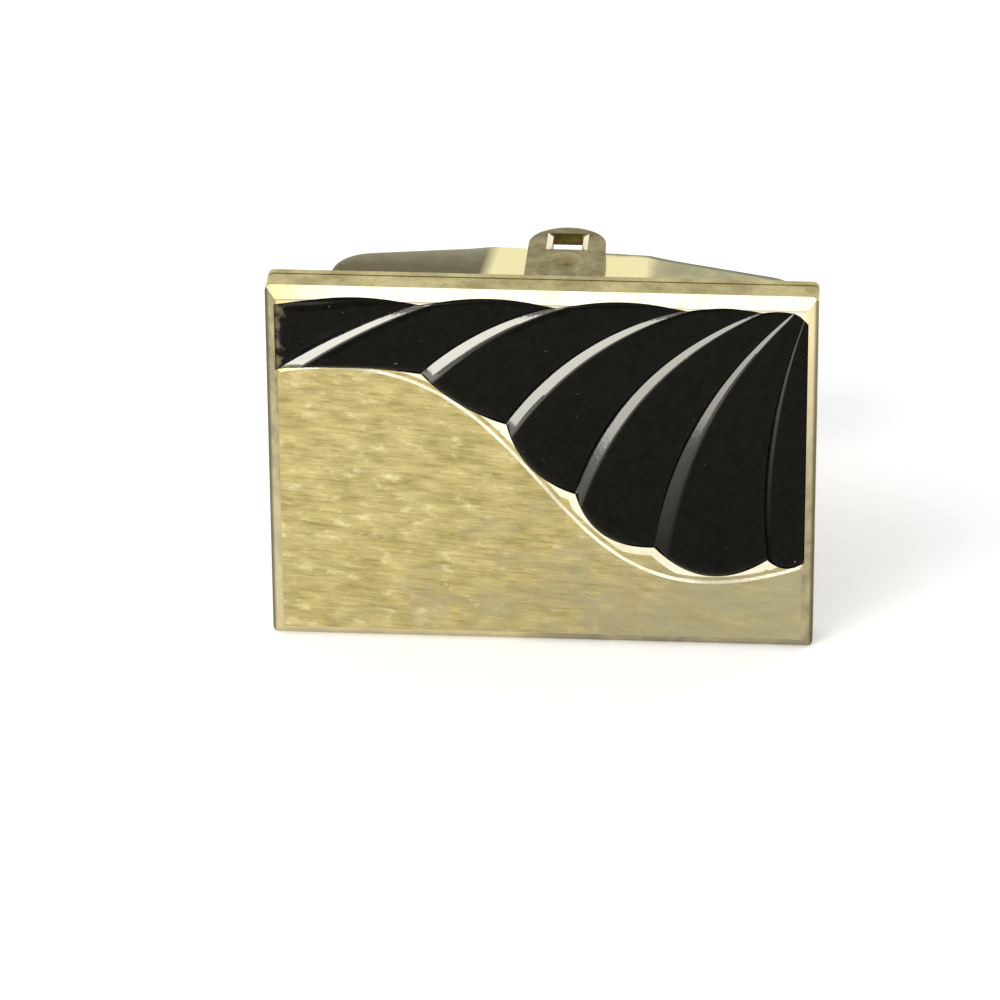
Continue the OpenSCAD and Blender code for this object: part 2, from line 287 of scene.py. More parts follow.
def bevel_gilt_painted_light():
    """Bevelled gilt brass with painted light: a mottled dull grey-olive as painted shade, a painted shadow
    line along the outer edge of its left and right side, and a painted highlight at the upper right and the
    lower left corner."""
    material, tree, place = new_material("bevel_gilt_painted_light")
    at = add(tree, "ShaderNodeSeparateXYZ", {"Vector": place}).outputs
    mottle = add(tree, "ShaderNodeTexNoise", {"Vector": place, "Scale": 1.6, "Detail": 4.0, "Roughness": 0.6})
    mottle = add(tree, "ShaderNodeMapRange", {"Value": mottle, "From Min": 0.35, "From Max": 0.65})
    # Painted shade: the bevel's sides are painted a dull grey-olive, darker than the bright cut top bevel
    tone = add(tree, "ShaderNodeMix", {"Factor": mottle, "A": "#8f866a", "B": "#b3a67e"}, data_type="RGBA")
    # Painted highlight: the bevel is painted pale toward the upper right, and more faintly toward the lower
    # left corner
    side = add(tree, "ShaderNodeMapRange", {"Value": at["X"], "From Min": -1.0, "From Max": 1.0,
                                            "To Min": -0.35})
    bright = add(tree, "ShaderNodeMath", {0: at["Z"], 1: side}, operation="MULTIPLY")
    bright = add(tree, "ShaderNodeMapRange", {"Value": bright, "From Min": -1.0, "From Max": 6.0})
    tone = add(tree, "ShaderNodeMix", {"Factor": bright, "A": tone, "B": "#eedfae"}, data_type="RGBA")
    # Painted shade: a dark line along the outer edge of the left and right side
    out = add(tree, "ShaderNodeMath", {0: at["X"]}, operation="ABSOLUTE")
    painted_edge_shade = add(tree, "ShaderNodeMapRange", {"Value": out, "From Min": FACE_W / 2 - 0.17,
                                            "From Max": FACE_W / 2 - 0.07, "To Max": 0.8})
    tone = add(tree, "ShaderNodeMix", {"Factor": painted_edge_shade, "A": tone, "B": "#4a4534"}, data_type="RGBA")
    return finished(material, tree, tone, 0.34, mottle, 0.01)


def bar_gilt_wear_and_painted_shade():
    """Pressed gilt brass, polished bright on the two flats; the arms olive and mottled, the left one darker
    all over with painted shade toward the plate, the right one with painted shade along its edges."""
    material, tree, place = new_material("bar_gilt_wear_and_painted_shade")
    along = add(tree, "ShaderNodeMapping", {"Vector": place, "Location": (0, POST_REACH, 0),
                                            "Rotation": (0, 0, -BAR_TURN)}, vector_type="TEXTURE")
    at = add(tree, "ShaderNodeSeparateXYZ", {"Vector": along}).outputs
    mottle = add(tree, "ShaderNodeTexNoise", {"Vector": place, "Scale": 1.2, "Detail": 4.0, "Roughness": 0.6})
    patchy = add(tree, "ShaderNodeMapRange", {"Value": mottle, "From Min": 0.35, "From Max": 0.65})
    # Painted shade: the left arm is painted darker toward the plate and lighter toward its back
    back = add(tree, "ShaderNodeMath", {0: mottle, 1: 1.6, 2: at["Y"]}, operation="MULTIPLY_ADD")
    back = add(tree, "ShaderNodeMapRange", {"Value": back, "From Min": 0.9, "From Max": 2.6})
    left = add(tree, "ShaderNodeMix", {"Factor": back, "A": "#635a3a", "B": "#8f8a69"}, data_type="RGBA")
    right = add(tree, "ShaderNodeMix", {"Factor": patchy, "A": "#a19b75", "B": "#bdb68a"}, data_type="RGBA")
    side = add(tree, "ShaderNodeMapRange", {"Value": at["X"], "From Min": -1.0, "From Max": 1.0})
    tone = add(tree, "ShaderNodeMix", {"Factor": side, "A": left, "B": right}, data_type="RGBA")
    # Painted shade: the right arm is painted dark along its long edges, where they round over
    out = add(tree, "ShaderNodeMath", {0: at["X"]}, operation="ABSOLUTE")
    off = add(tree, "ShaderNodeMath", {0: at["Y"]}, operation="ABSOLUTE")
    taper = add(tree, "ShaderNodeMath", {0: out, 1: FLAT_HALF}, operation="SUBTRACT")
    taper = add(tree, "ShaderNodeMath", {0: taper, 1: 0.0}, operation="MAXIMUM")
    off = add(tree, "ShaderNodeMath", {0: taper, 1: ARM_SLOPE, 2: off}, operation="MULTIPLY_ADD")
    off = add(tree, "ShaderNodeMath", {0: mottle, 1: 0.3, 2: off}, operation="MULTIPLY_ADD")
    edge = add(tree, "ShaderNodeMapRange", {"Value": off, "From Min": BAR_W / 2 - 0.4,
                                            "From Max": BAR_W / 2 - 0.15, "To Max": 0.9})
    edge = add(tree, "ShaderNodeMath", {0: edge, 1: side}, operation="MULTIPLY")
    tone = add(tree, "ShaderNodeMix", {"Factor": edge, "A": tone, "B": "#57523a"}, data_type="RGBA")
    ragged = add(tree, "ShaderNodeMath", {0: mottle, 1: 0.75}, operation="SUBTRACT")
    ragged = add(tree, "ShaderNodeMath", {0: ragged, 1: side, 2: out}, operation="MULTIPLY_ADD")
    flats = add(tree, "ShaderNodeMapRange", {"Value": ragged, "From Min": FLAT_HALF + 0.3,
                                             "From Max": FLAT_HALF - 0.2})
    flats = add(tree, "ShaderNodeMath", {0: flats, 1: edge}, operation="SUBTRACT", use_clamp=True)
    high = add(tree, "ShaderNodeMath", {0: at["Z"]}, operation="ABSOLUTE")
    high = add(tree, "ShaderNodeMapRange", {"Value": high, "From Min": HUB_T / 2 - 0.3,
                                            "From Max": HUB_T / 2 - 0.05})
    flats = add(tree, "ShaderNodeMath", {0: flats, 1: high}, operation="MULTIPLY")
    tone = add(tree, "ShaderNodeMix", {"Factor": flats, "A": tone, "B": "#f3e8ac"}, data_type="RGBA")
    gloss = add(tree, "ShaderNodeMapRange", {"Value": flats, "To Min": 0.38, "To Max": 0.16})
    return finished(material, tree, tone, gloss, mottle, 0.01)


def carved_black_onyx():
    """Black onyx: the tops of the flutes rubbed to a soft near black with rare pits, the steep flanks of the
    grooves polished so that they flash, less so toward the lower right, and a grey worn left edge."""
    material, tree, place = new_material("carved_black_onyx")
    clouds = add(tree, "ShaderNodeTexNoise", {"Vector": place, "Scale": 3.0, "Detail": 4.0, "Roughness": 0.7})
    clouds = add(tree, "ShaderNodeMapRange", {"Value": clouds, "From Min": 0.35, "From Max": 0.68})
    tone = add(tree, "ShaderNodeMix", {"Factor": clouds, "A": "#030302", "B": "#0e0d0a"}, data_type="RGBA")
    pits = add(tree, "ShaderNodeTexNoise", {"Vector": place, "Scale": 5.0, "Detail": 1.0})
    pits = add(tree, "ShaderNodeMapRange", {"Value": pits, "From Min": 0.78, "From Max": 0.84, "To Max": 0.5})
    tone = add(tree, "ShaderNodeMix", {"Factor": pits, "A": tone, "B": "#8a867a"}, data_type="RGBA")
    at = add(tree, "ShaderNodeSeparateXYZ", {"Vector": place}).outputs
    ragged = add(tree, "ShaderNodeTexNoise", {"Vector": place, "Scale": 2.6, "Detail": 3.0})
    edge = add(tree, "ShaderNodeMath", {0: ragged, 1: 1.3, 2: at["X"]}, operation="MULTIPLY_ADD")
    edge = add(tree, "ShaderNodeMapRange", {"Value": edge, "From Min": 0.95 - FIELD_X,
                                            "From Max": 0.55 - FIELD_X})
    tone = add(tree, "ShaderNodeMix", {"Factor": edge, "A": tone, "B": "#6f6a52"}, data_type="RGBA")
    gloss = add(tree, "ShaderNodeMapRange", {"Value": edge, "To Min": 0.13, "To Max": 0.5})
    rub = add(tree, "ShaderNodeTexNoise", {"Vector": place, "Scale": 7.0, "Detail": 2.0})
    flank = add(tree, "ShaderNodeAttribute", attribute_name="flank").outputs["Fac"]
    shine = add(tree, "ShaderNodeMath", {0: at["Z"], 1: -1.5, 2: at["X"]}, operation="MULTIPLY_ADD")
    shine = add(tree, "ShaderNodeMapRange", {"Value": shine, "From Min": -15.0, "From Max": 15.0,
                                             "To Min": 1.0, "To Max": 0.0}, interpolation_type="SMOOTHSTEP")
    shine = add(tree, "ShaderNodeMapRange", {"Value": flank, "To Min": 0.04, "To Max": shine})
    mirror = {"IOR": 1.85, "Specular IOR Level": shine, "Specular Tint": "#fdf9ec"}
    return finished(material, tree, tone, gloss, rub, 0.004, 0.0, mirror)


def soft_solder():
    """Tin solder that has run into a corner: grey, uneven and dull."""
    material, tree, place = new_material("soft_solder")
    runs = add(tree, "ShaderNodeTexNoise", {"Vector": place, "Scale": 2.2, "Detail": 4.0})
    tone = add(tree, "ShaderNodeMix", {"Factor": runs, "A": "#7d7a70", "B": "#aaa69a"}, data_type="RGBA")
    return finished(material, tree, tone, 0.48, runs, 0.03)


def set_cement():
    """Jeweller's cement, set hard: dull brown-grey with a fine grit."""
    material, tree, place = new_material("set_cement")
    grit = add(tree, "ShaderNodeTexNoise", {"Vector": place, "Scale": 9.0, "Detail": 3.0})
    tone = add(tree, "ShaderNodeMix", {"Factor": grit, "A": "#554f43", "B": "#7a7362"}, data_type="RGBA")
    return finished(material, tree, tone, 0.85, grit, 0.01, 0.0)


FIELD_FINISH = satin_brushed_gilt()
BRIGHT_FINISH = bright_cut_gilt()
SIDE_FINISH = worn_gilt("rubbed_gilt_edge", "#cbbf86", "#a89c68", 0.36, 6.0, 0.35)
FITTING_FINISH = worn_gilt("tumbled_gilt", "#a09465", "#6f6640", 0.38, 4.0, 0.5)
BEVEL_FINISH = bevel_gilt_painted_light()
BAR_FINISH = bar_gilt_wear_and_painted_shade()
INLAY_FINISH = carved_black_onyx()
SOLDER_FINISH = soft_solder()
CEMENT_FINISH = set_cement()


# Meshes

def mesh_of(name, bm):
    """A mesh of what the bmesh holds; the bmesh is freed."""
    mesh = bpy.data.meshes.new(name)
    bm.to_mesh(mesh)
    bm.free()
    return mesh


def bmesh_of(mesh):
    """A bmesh of what the mesh holds."""
    bm = bmesh.new()
    bm.from_mesh(mesh)
    return bm


def shown(name, data):
    """A new object in the scene for a mesh, a lamp or a camera."""
    made = bpy.data.objects.new(name, data)
    bpy.context.scene.collection.objects.link(made)
    return made


def settled(target):
    """A new mesh of what the object and its modifiers give; the object is removed."""
    mesh = bpy.data.meshes.new_from_object(target.evaluated_get(bpy.context.evaluated_depsgraph_get()))
    bpy.data.objects.remove(target)
    return mesh


def keep(name, bm, body, nodes, finishes, smooth_below=None):
    """Makes a bmesh in millimetres a finished piece that rides on a body and stands for nodes of the model.
    Edges that turn by less than smooth_below degrees are shaded smooth."""
    bmesh.ops.transform(bm, matrix=Matrix.Scale(MM, 4), verts=bm.verts)
    mesh = mesh_of(name, bm)
    for finish in finishes:
        mesh.materials.append(finish)
    if smooth_below is not None:
        mesh.polygons.foreach_set("use_smooth", [True] * len(mesh.polygons))
        mesh.set_sharp_from_angle(angle=math.radians(smooth_below))
    piece = shown(name, mesh)
    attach(piece, body)
    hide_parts(*nodes)


def loft(bm, rings):
    """Skins rings of as many points each, in order, caps both ends and turns the faces outwards."""
    rows = [[bm.verts.new(p) for p in ring] for ring in rings]
    for lower, upper in zip(rows, rows[1:]):
        for k in range(len(lower)):
            n = (k + 1) % len(lower)
            bm.faces.new((lower[k], lower[n], upper[n], upper[k]))
    bm.faces.new(list(reversed(rows[0])))
    bm.faces.new(rows[-1])
    bmesh.ops.recalc_face_normals(bm, faces=bm.faces)


# Curves of the face, as points across and up

def field_point(share):
    """Point at a share of half the inlay's field, across and up."""
    return Vector((share[0] * FIELD_X, share[1] * FIELD_Z))


def foot(i):
    """Lower end of a border."""
    return field_point(FOOT_SHARES[i])


def top(i):
    """Upper end of a border."""
    return field_point(TOP_SHARES[i])


def turned(v):
    """The vector turned a quarter to the left."""
    return Vector((-v.y, v.x))


def border(i, t):
    """Point of the border between two flutes, from its foot (t = 0) to its top (t = 1)."""
    bend = foot(i).lerp(top(i), 0.5) + BOW_SHARES[i] * turned(top(i) - foot(i))
    return foot(i).lerp(bend, t).lerp(bend.lerp(top(i), t), t)


def end_bow(i, t):
    """How far the middle of a flute stands out from the line between its borders."""
    swell = -SWELL_SHARES[i] * turned(foot(i + 1) - foot(i))
    rise = Vector((0, RISE_SHARE * (top(i + 1) - top(i)).length))
    return (1 - t) ** 3 * swell + t ** 3 * rise


def flute_point(i, s, t):
    """Point of a flute, s across it and t along it."""
    return border(i, t).lerp(border(i + 1, t), s) + 4 * s * (1 - s) * end_bow(i, t)


def inlay_outline():
    """Outline of the inlay, anticlockwise from its lower left corner."""
    sides = [(i, eased(k, STEPS_ACROSS)) for i in range(FLUTES) for k in range(STEPS_ACROSS)]
    lower = [flute_point(i, s, 0) for i, s in sides]
    right = [border(FLUTES, eased(k, STEPS_ALONG)) for k in range(STEPS_ALONG)]
    upper = [flute_point(i, s, 1) for i, s in sides[1:] + [(FLUTES - 1, 1)]]
    left = [border(0, eased(k, STEPS_ALONG)) for k in range(STEPS_ALONG, 0, -1)]
    return lower + right + upper[::-1] + left


def lip_line(inset=0.0):
    """The cut lip from left to right, or a line that much further to the upper right."""
    p = [field_point(share) for share in LIP_SHARES]
    line = []
    for k in range(LIP_STEPS + 1):
        t = k / LIP_STEPS
        u = 1 - t
        point = u ** 3 * p[0] + 3 * t * u ** 2 * p[1] + 3 * t ** 2 * u * p[2] + t ** 3 * p[3]
        along = u ** 2 * (p[1] - p[0]) + 2 * t * u * (p[2] - p[1]) + t ** 2 * (p[3] - p[2])
        line.append(point + inset * turned(along.normalized()))
    return line


def rounded_rect(w, h, r):
    """Outline of a rectangle with round corners, anticlockwise."""
    points = []
    for k, (sx, sz) in enumerate([(1, 1), (-1, 1), (-1, -1), (1, -1)]):
        centre = Vector((sx * (w / 2 - r), sz * (h / 2 - r)))
        for j in range(CORNER_STEPS + 1):
            a = math.pi / 2 * (k + j / CORNER_STEPS)
            points.append(centre + r * Vector((math.cos(a), math.sin(a))))
    return points


def inside(point, outline):
    """Whether a point lies in a closed outline."""
    crossings = 0
    for a, b in zip(outline, outline[1:] + outline[:1]):
        if (a.y > point.y) != (b.y > point.y):
            crossings += point.x < a.x + (point.y - a.y) / (b.y - a.y) * (b.x - a.x)
    return crossings % 2 == 1


def beyond(point, line):
    """Signed distance of a point from a line of points, more than 0 on its left."""
    best = None
    for a, b in zip(line, line[1:]):
        along = b - a
        t = min(1, max(0, (point - a).dot(along) / along.length_squared))
        away = point - a - t * along
        if best is None or away.length < abs(best):
            best = math.copysign(away.length, turned(along).dot(away))
    return best


# Face plate: one sheet of triangles over its outline, with the bevel, the lip and the pocket drawn in

def face_plate():
    """The struck plate: brushed field, bevel, cut lip, bright wedges between the lip and the flutes' lower
    ends, and the pocket for the inlay."""
    lip = lip_line()
    pocket = inlay_outline()
    rim = rounded_rect(FACE_W, FACE_H, CORNER_R)
    points = []
    edges = []

    def draw(line, closed=False):
        start = len(points)
        points.extend(line)
        edges.extend((start + k, start + k + 1) for k in range(len(line) - 1))
        if closed:
            edges.append((len(points) - 1, start))

    draw(rim, closed=True)
    for inset in (BEVEL - EDGE, BEVEL, BEVEL + EDGE):
        x, z = FACE_W / 2 - inset, FACE_H / 2 - inset
        draw([Vector((x, z)), Vector((-x, z)), Vector((-x, -z)), Vector((x, -z))], closed=True)
    for k in range(4):
        corner = rim[k * (CORNER_STEPS + 1) + CORNER_STEPS // 2]
        draw([corner, Vector((math.copysign(FACE_W / 2 - BEVEL, corner.x),
                              math.copysign(FACE_H / 2 - BEVEL, corner.y)))])
    draw(lip[1:-1])
    draw(lip_line(LIP_W)[2:-2])
    draw(lip_line(WEDGE_FROM)[4:-4])
    draw(pocket, closed=True)
    lower = pocket[:FLUTES * STEPS_ACROSS]
    draw([p - RING_W * turned((b - a).normalized()) for a, p, b in zip(lower, lower[1:], lower[2:])])
    flat, _, triangles, *_ = delaunay_2d_cdt(points, edges, [], 1, WELD)

    def inset_of(point):
        """How far a point lies inside the plate's outline."""
        return min(FACE_W / 2 - abs(point.x), FACE_H / 2 - abs(point.y))

    def drop_at(point):
        """How far the plate lies behind its front plane at a point: down the bevel, or past the lip, where
        the land is cut down but for strips at the field's sides and top."""
        inset = inset_of(point)
        bevel = max(0, BEVEL - inset, min(EDGE, BEVEL + EDGE - inset) / 4)
        cut = min(beyond(point, lip), point.x + FIELD_X + PAST_LEFT, FIELD_X + PAST_RIGHT - point.x,
                  FIELD_Z - SHORT_OF_TOP - point.y)
        return max(bevel, LIP_DROP * min(1, max(0, cut / LIP_W)))

    drops = [drop_at(p) for p in flat]
    bm = bmesh.new()
    made = {}

    def vertex(k, level):
        """Vertex at point k of the sheet: at its front, its floor in the pocket, its heel or its back."""
        if (k, level) not in made:
            x, z = flat[k]
            if level == "back":
                x, z = x * (1 - 2 * EDGE / FACE_W), z * (1 - 2 * EDGE / FACE_H)
            y = {"front": FACE_FRONT + drops[k], "floor": POCKET_FLOOR,
                 "heel": FACE_BACK - EDGE, "back": FACE_BACK}[level]
            made[k, level] = bm.verts.new((x, y, z))
        return made[k, level]

    def face(corners, finish):
        """A face with the finish of that number."""
        bm.faces.new(corners).material_index = finish

    # Numbers of the four finishes that the plate is kept with
    field, bright, rubbed, dull_painted_light = range(4)
    owners = {}
    for triangle in triangles:
        centre = sum((flat[k] for k in triangle), Vector((0, 0))) / 3
        level = "floor" if inside(centre, pocket) else "front"
        on_bevel = inset_of(centre) < BEVEL + EDGE
        upper = FACE_H / 2 - centre.y < min(BEVEL + EDGE, FACE_W / 2 - abs(centre.x))
        past = beyond(centre, lip)
        # The bevel, but for its top, takes the finish with painted shade and painted highlight
        finish = rubbed if level == "floor" else dull_painted_light if on_bevel and not upper else bright
        if level == "front" and not on_bevel and centre.y < BRIGHT_ABOVE:
            if past < 0 or past > LIP_W and (past < WEDGE_FROM or abs(beyond(centre, lower)) > RING_W):
                finish = field
        face([vertex(k, level) for k in triangle], finish)
        face([vertex(k, "back") for k in reversed(triangle)], rubbed)
        for a, b in zip(triangle, triangle[1:] + triangle[:1]):
            owners[a, b] = level
    for (a, b), level in owners.items():
        other = owners.get((b, a))
        if other is None:
            face([vertex(b, level), vertex(a, level), vertex(a, "heel"), vertex(b, "heel")], rubbed)
            face([vertex(b, "heel"), vertex(a, "heel"), vertex(a, "back"), vertex(b, "back")], rubbed)
        elif level == "front" and other == "floor":
            face([vertex(b, "front"), vertex(a, "front"), vertex(a, "floor"), vertex(b, "floor")], bright)
    keep("struck_face_plate", bm, "cufflink_body", ["face_plate"],
         [FIELD_FINISH, BRIGHT_FINISH, SIDE_FINISH, BEVEL_FINISH])


# Inlay: a tree of Geometry Nodes rolls a block of cells into flutes between the borders

def flute_guides():
    """A mesh of the borders' points, one border after another, which hold each flute's bow and roll."""
    bm = bmesh.new()
    bows = bm.verts.layers.float_vector.new("end_bow")
    rolls = bm.verts.layers.float.new("roll")
    for i in range(FLUTES + 1):
        flute = min(i, FLUTES - 1)
        run = (top(i) - foot(i)).length
        for j in range(STEPS_ALONG + 1):
            t = eased(j, STEPS_ALONG)
            p = border(i, t)
            near = min(1, min(t, 1 - t) * run / END_ROLL)
            vertex = bm.verts.new((p.x, 0, p.y))
            bow = end_bow(flute, t)
            vertex[bows] = (bow.x, 0, bow.y)
            vertex[rolls] = math.sqrt(1 - (1 - near) ** 2)
    return mesh_of("flute_guides", bm)


def rolled_flutes_tree():
    """Geometry Nodes tree that shapes a block of cells into flutes along the guides."""
    tree = bpy.data.node_groups.new("rolled_flutes", "GeometryNodeTree")
    interface = tree.interface
    interface.new_socket("Geometry", in_out="INPUT", socket_type="NodeSocketGeometry")
    for name, kind in [("Flutes", "Int"), ("Steps Across", "Int"), ("Steps Along", "Int"),
                       ("Groove Place", "Float"), ("Full Height", "Float"), ("Back Place", "Float"),
                       ("Flank Slope", "Float"), ("Finish", "Material")]:
        interface.new_socket(name, in_out="INPUT", socket_type="NodeSocket" + kind)
    interface.new_socket("Geometry", in_out="OUTPUT", socket_type="NodeSocketGeometry")
    given = add(tree, "NodeGroupInput").outputs
    at = add(tree, "ShaderNodeSeparateXYZ", {"Vector": add(tree, "GeometryNodeInputPosition")}).outputs

    # Sums over each point's place in the unit block: a sum's name, its operation and what goes into it. They
    # give the flute, the row along it and the share across it; the guide points on its left and right border
    # and a row below; how far it bows there; and whether the point is on the steep flank
    known = {"x": at["X"], "y": at["Y"]}
    known.update((socket.name, socket) for socket in given)
    for name, operation, *parts in [
            ("cells", "MULTIPLY", "Flutes", "Steps Across"), ("columns", "ADD", "cells", 1),
            ("rows", "ADD", "Steps Along", 1), ("last flute", "SUBTRACT", "Flutes", 1),
            ("cell", "ADD", "x", 0.5), ("cell", "MULTIPLY", "cell", "cells"), ("cell", "ROUND", "cell"),
            ("row", "ADD", "y", 0.5), ("row", "MULTIPLY", "row", "Steps Along"), ("row", "ROUND", "row"),
            ("place", "DIVIDE", "cell", "Steps Across"), ("flute", "FLOOR", "place"),
            ("flute", "MINIMUM", "flute", "last flute"), ("across", "SUBTRACT", "place", "flute"),
            ("across", "MULTIPLY", "across", math.pi), ("across", "COSINE", "across"),
            ("across", "SUBTRACT", 1, "across"), ("across", "DIVIDE", "across", 2),
            ("left", "MULTIPLY_ADD", "flute", "rows", "row"), ("right", "ADD", "left", "rows"),
            ("below", "MINIMUM", "row", 1), ("below", "SUBTRACT", "left", "below"),
            ("arch", "SUBTRACT", 1, "across"), ("arch", "MULTIPLY", "across", "arch"),
            ("arch", "MULTIPLY", "arch", 4), ("steep", "LESS_THAN", "across", FLANK_SHARE + 0.001),
            ("carved", "GREATER_THAN", "flute", 0.5), ("steep", "MULTIPLY", "steep", "carved")]:
        values = {k: known.get(part, part) for k, part in enumerate(parts)}
        known[name] = add(tree, "ShaderNodeMath", values, operation=operation)

    block = add(tree, "GeometryNodeMeshCube", {"Vertices X": known["columns"], "Vertices Y": known["rows"],
                                               "Vertices Z": 2})
    point = add(tree, "GeometryNodeInputPosition")
    bow = add(tree, "GeometryNodeInputNamedAttribute", {"Name": "end_bow"}, data_type="FLOAT_VECTOR")
    roll = add(tree, "GeometryNodeInputNamedAttribute", {"Name": "roll"}, data_type="FLOAT")
    on_left, on_right, on_below, bowed, rolled = [
        add(tree, "GeometryNodeSampleIndex", {"Geometry": given["Geometry"], "Value": value,
                                              "Index": known[index]}, data_type=kind, domain="POINT")
        for value, index, kind in [(point, "left", "FLOAT_VECTOR"), (point, "right", "FLOAT_VECTOR"),
                                   (point, "below", "FLOAT_VECTOR"), (bow, "left", "FLOAT_VECTOR"),
                                   (roll, "left", "FLOAT")]]

    # Place on the face
    bowed = add(tree, "ShaderNodeVectorMath", {0: bowed, "Scale": known["arch"]}, operation="SCALE")
    flat = add(tree, "ShaderNodeMix", {"Factor": known["across"], "A": on_left, "B": on_right},
               data_type="VECTOR")
    flat = add(tree, "ShaderNodeVectorMath", {0: flat, 1: bowed}, operation="ADD")
    flat = add(tree, "ShaderNodeSeparateXYZ", {"Vector": flat}).outputs

    # Height: the flute's width square to its border sets it, so that the steep flank keeps its slope
    chord = add(tree, "ShaderNodeVectorMath", {0: on_right, 1: on_left}, operation="SUBTRACT")
    along = add(tree, "ShaderNodeVectorMath", {0: on_left, 1: on_below}, operation="SUBTRACT")
    along = add(tree, "ShaderNodeVectorMath", {0: along}, operation="NORMALIZE")
    square = add(tree, "ShaderNodeVectorMath", {0: chord, 1: along}, operation="CROSS_PRODUCT")
    width = add(tree, "ShaderNodeVectorMath", {0: square}, operation="LENGTH").outputs["Value"]

    # Its section is straight up the flank, then round over the crest and down into the next groove
    section = add(tree, "ShaderNodeFloatCurve", {"Value": known["across"]})
    curve = section.mapping.curves[0]
    curve.points[1].location = (1, 0)
    for share, height, handle in [(FLANK_SHARE, FLANK_HEIGHT, "VECTOR"), (CREST_SHARE, 1.0, "AUTO"),
                                  (FALL_SHARE, FALL_HEIGHT, "AUTO")]:
        curve.points.new(share, height).handle_type = handle
    section.mapping.update()
    height = add(tree, "ShaderNodeMath", {0: width, 1: given["Flank Slope"]}, operation="MULTIPLY")
    for operation, value in [("MULTIPLY", FLANK_SHARE / FLANK_HEIGHT), ("MINIMUM", given["Full Height"]),
                             ("MULTIPLY", section), ("MULTIPLY", rolled)]:
        height = add(tree, "ShaderNodeMath", {0: height, 1: value}, operation=operation)
    front = add(tree, "ShaderNodeMath", {0: given["Groove Place"], 1: height}, operation="SUBTRACT")
    in_front = add(tree, "ShaderNodeMath", {0: at["Z"], 1: 0.0}, operation="GREATER_THAN")
    depth = add(tree, "ShaderNodeMix", {"Factor": in_front, "A": given["Back Place"], "B": front},
                data_type="FLOAT")
    placed = add(tree, "ShaderNodeCombineXYZ", {"X": flat["X"], "Y": depth, "Z": flat["Z"]})
    marked = add(tree, "GeometryNodeStoreNamedAttribute", {"Geometry": block, "Name": "flank",
                                                           "Value": known["steep"]},
                 data_type="FLOAT", domain="POINT")
    shaped = add(tree, "GeometryNodeSetPosition", {"Geometry": marked, "Position": placed})
    solid = add(tree, "GeometryNodeRealizeInstances", {"Geometry": shaped})
    dressed = add(tree, "GeometryNodeSetMaterial", {"Geometry": solid, "Material": given["Finish"]})
    add(tree, "NodeGroupOutput", {"Geometry": dressed})
    return tree


def fluted_inlay():
    """The carved piece: seven rolled flutes, each steep on its upper left side and long on its right."""
    guide = shown("flute_guides", flute_guides())
    modifier = guide.modifiers.new("flutes", "NODES")
    modifier.node_group = rolled_flutes_tree()
    groove = FACE_FRONT + GROOVE_DEPTH
    sizes = {"Flutes": FLUTES, "Steps Across": STEPS_ACROSS, "Steps Along": STEPS_ALONG,
             "Groove Place": groove, "Full Height": groove - CREST_Y, "Back Place": INLAY_BACK,
             "Flank Slope": math.tan(FLANK_TILT), "Finish": INLAY_FINISH}
    for socket in modifier.node_group.interface.items_tree:
        if socket.in_out == "INPUT" and socket.name in sizes:
            modifier[socket.identifier] = sizes[socket.name]
    bm = bmesh_of(settled(guide))
    bmesh.ops.remove_doubles(bm, verts=bm.verts, dist=WELD)
    keep("carved_fluted_inlay", bm, "cufflink_body", ["fluted_inlay"], [INLAY_FINISH],
         smooth_below=28)


# Backing plate and foot

def backing_plate():
    """The plate behind, with its edges just broken."""
    bm = bmesh.new()
    y0, y1 = backing_low.y, backing_high.y
    rings = []
    for y, inset in [(y1, EDGE), (y1 - EDGE, 0), (y0, 0)]:
        outline = rounded_rect(FACE_W - 2 * inset, FACE_H - 2 * inset, CORNER_R - inset)
        rings.append([(p.x, y, p.y) for p in outline])
    loft(bm, rings)
    keep("backing_plate_worn", bm, "cufflink_body", ["backing_plate"], [SIDE_FINISH])


def round_rings(profile, place, steps=72):
    """Rings of a round solid from its profile of radius and height; place makes points of x, y, height."""
    turns = [2 * math.pi * k / steps for k in range(steps)]
    return [[place(r * math.cos(a), r * math.sin(a), h) for a in turns] for r, h in profile]


def post_foot():
    """The round pad under the post, with a rounded edge."""
    bm = bmesh.new()
    r = FOOT_D / 2
    y0, y1 = foot_low.y, foot_high.y
    soft = 2 * EDGE
    profile = [(r - soft, y0), (r, y0), (r, y1 - soft), (r - soft / 3, y1 - soft / 3), (r - soft, y1)]
    loft(bm, round_rings(profile, lambda x, z, y: (x, y, z)))
    keep("post_foot_pad", bm, "cufflink_body", ["post_foot"], [FITTING_FINISH], smooth_below=50)


# Fork: a bent strap, rounded and pierced, then its edges broken

def cut(mesh, tool_mesh, operation):
    """The mesh cut by another, exactly."""
    target = shown("work", mesh)
    tool = shown("tool", tool_mesh)
    modifier = target.modifiers.new("cut", "BOOLEAN")
    modifier.operation = operation
    modifier.solver = "EXACT"
    modifier.object = tool
    mesh = settled(target)
    bpy.data.objects.remove(tool)
    return mesh


def prism(outline, levels, place=lambda u, v, w: (u, v, w)):
    """A closed mesh of an outline drawn out through levels; place turns its points into X, Y and Z."""
    bm = bmesh.new()
    loft(bm, [[place(u, v, w) for u, v in outline] for w in levels])
    return mesh_of("prism", bm)


def arc(centre, r, start, end, steps=16):
    """Points of an arc, its ends given in degrees."""
    angles = [math.radians(start + (end - start) * k / steps) for k in range(steps + 1)]
    return [(centre[0] + r * math.cos(a), centre[1] + r * math.sin(a)) for a in angles]


